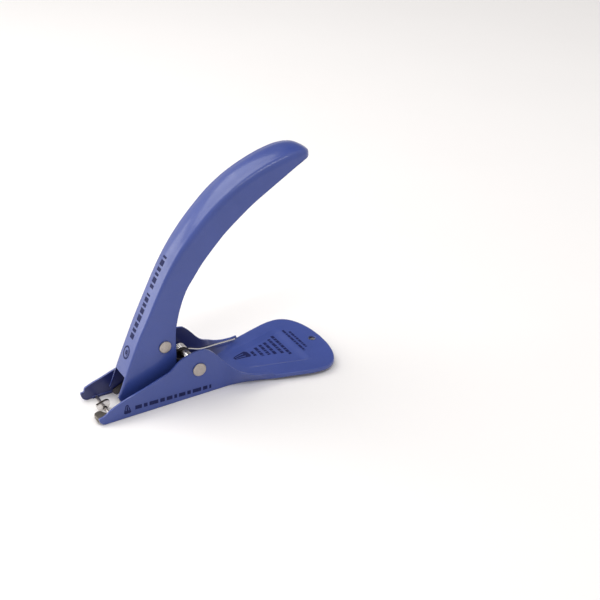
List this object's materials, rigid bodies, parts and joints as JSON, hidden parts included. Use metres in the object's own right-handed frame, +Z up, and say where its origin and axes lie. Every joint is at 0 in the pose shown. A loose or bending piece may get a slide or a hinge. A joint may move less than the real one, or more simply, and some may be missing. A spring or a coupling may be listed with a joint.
{
  "type": "lever staple remover",
  "caption": "Pressed-steel lever staple remover: a base with two jaw arms and a flat paddle, and a curved sprung handle on a pivot rivet that lifts the staple.",
  "frame": {"origin": "on the ground directly below the pivot rivet, on the underside of the base's channel floor", "axes": "+X from the jaw tips to the paddle, +Y to the spring side across the symmetry plane, +Z up"},
  "size_m": [0.1294, 0.0542, 0.1157],
  "materials": {
    "blue_paint": "semi-gloss blue enamel on pressed steel",
    "rivet_steel": "satin rivet heads",
    "spring_steel": "bright nickel-plated wire and tube",
    "tool_steel": "ground, hardened steel"
  },
  "bodies": {
    "base": {"base_frame": "blue_paint", "pivot_rivet": "rivet_steel", "pivot_spacer_near": "spring_steel", "pivot_spacer_middle": "spring_steel", "torsion_spring": "spring_steel", "cross_pin": "tool_steel", "tongue": "tool_steel", "foot_tab": "tool_steel"},
    "handle": {"handle_shell": "blue_paint", "lifter": "tool_steel", "lifter_rivet": "rivet_steel", "lifter_spacer": "spring_steel"}
  },
  "joints": [
    {"name": "handle_pivot", "type": "hinge", "parent": "base", "child": "handle", "pos_m": [0, 0, 0.0149], "axis": [0, 1, 0], "range_deg": [0, 38], "stiffness_Nm_per_rad": 0.13, "springref_deg": -31.51, "deforming": ["torsion_spring"]}
  ]
}
